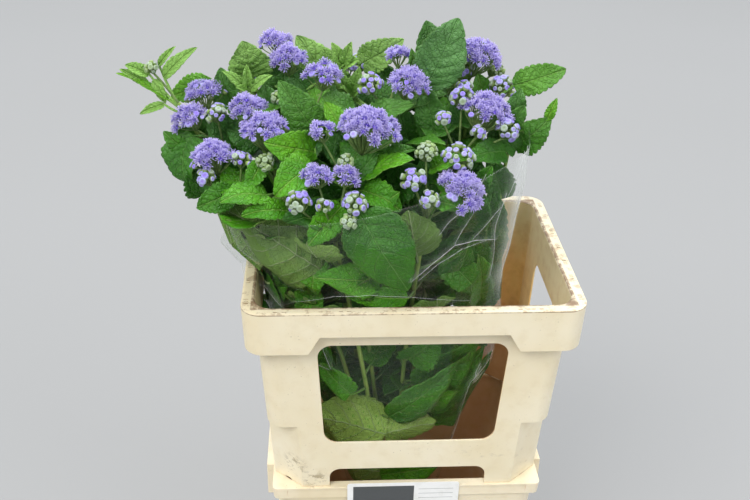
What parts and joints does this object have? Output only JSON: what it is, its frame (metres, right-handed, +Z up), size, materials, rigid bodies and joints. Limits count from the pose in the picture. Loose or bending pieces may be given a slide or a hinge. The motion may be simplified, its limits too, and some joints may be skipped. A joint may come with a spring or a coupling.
{
  "type": "bunch of cut ageratum in a flower bucket with a collar",
  "caption": "Cut ageratum with fluffy lavender-blue heads in a clear film sleeve, standing in a moulded flower bucket with a windowed collar.",
  "frame": {"origin": "centre of the bucket's base, on the ground", "axes": "+Z up, +X along the bucket's long side, -Y out of the front with the label card"},
  "size_m": [0.5341, 0.306, 0.8571],
  "materials": {
    "bucket_plastic": "satin",
    "collar_plastic": "satin",
    "card": "matte",
    "water": "gloss",
    "rubber_band": "matte",
    "film": "gloss",
    "stem": "satin",
    "leaf": "satin",
    "flowers": "matte"
  },
  "bodies": {
    "root": {"bucket": "bucket_plastic", "collar": "collar_plastic", "label_card": "card", "water": "water", "elastic_band": "rubber_band", "film_sleeve": "film", "stem_1": "stem", "stem_2": "stem", "stem_3": "stem", "stem_4": "stem", "stem_5": "stem", "stem_6": "stem", "stem_7": "stem", "stem_8": "stem", "stem_9": "stem", "stem_10": "stem", "stem_11": "stem", "stem_12": "stem", "stem_13": "stem", "stem_14": "stem", "stem_15": "stem", "stem_16": "stem", "stem_17": "stem", "flower_head_1": "flowers", "flower_head_2": "flowers", "flower_head_3": "flowers", "flower_head_4": "flowers", "flower_head_5": "flowers", "flower_head_6": "flowers", "flower_head_7": "flowers", "flower_head_8": "flowers", "flower_head_9": "flowers", "flower_head_10": "flowers", "flower_head_11": "flowers", "flower_head_12": "flowers", "flower_head_13": "flowers", "flower_head_14": "flowers", "flower_head_15": "flowers", "flower_head_16": "flowers", "flower_head_17": "flowers", "leaf_1": "leaf", "leaf_2": "leaf", "leaf_3": "leaf", "leaf_4": "leaf", "leaf_5": "leaf", "leaf_6": "leaf", "leaf_7": "leaf", "leaf_8": "leaf", "leaf_9": "leaf", "leaf_10": "leaf", "leaf_11": "leaf", "leaf_12": "leaf", "leaf_13": "leaf", "leaf_14": "leaf", "leaf_15": "leaf", "leaf_16": "leaf", "leaf_17": "leaf", "leaf_18": "leaf", "leaf_19": "leaf", "leaf_20": "leaf"}
  },
  "joints": []
}
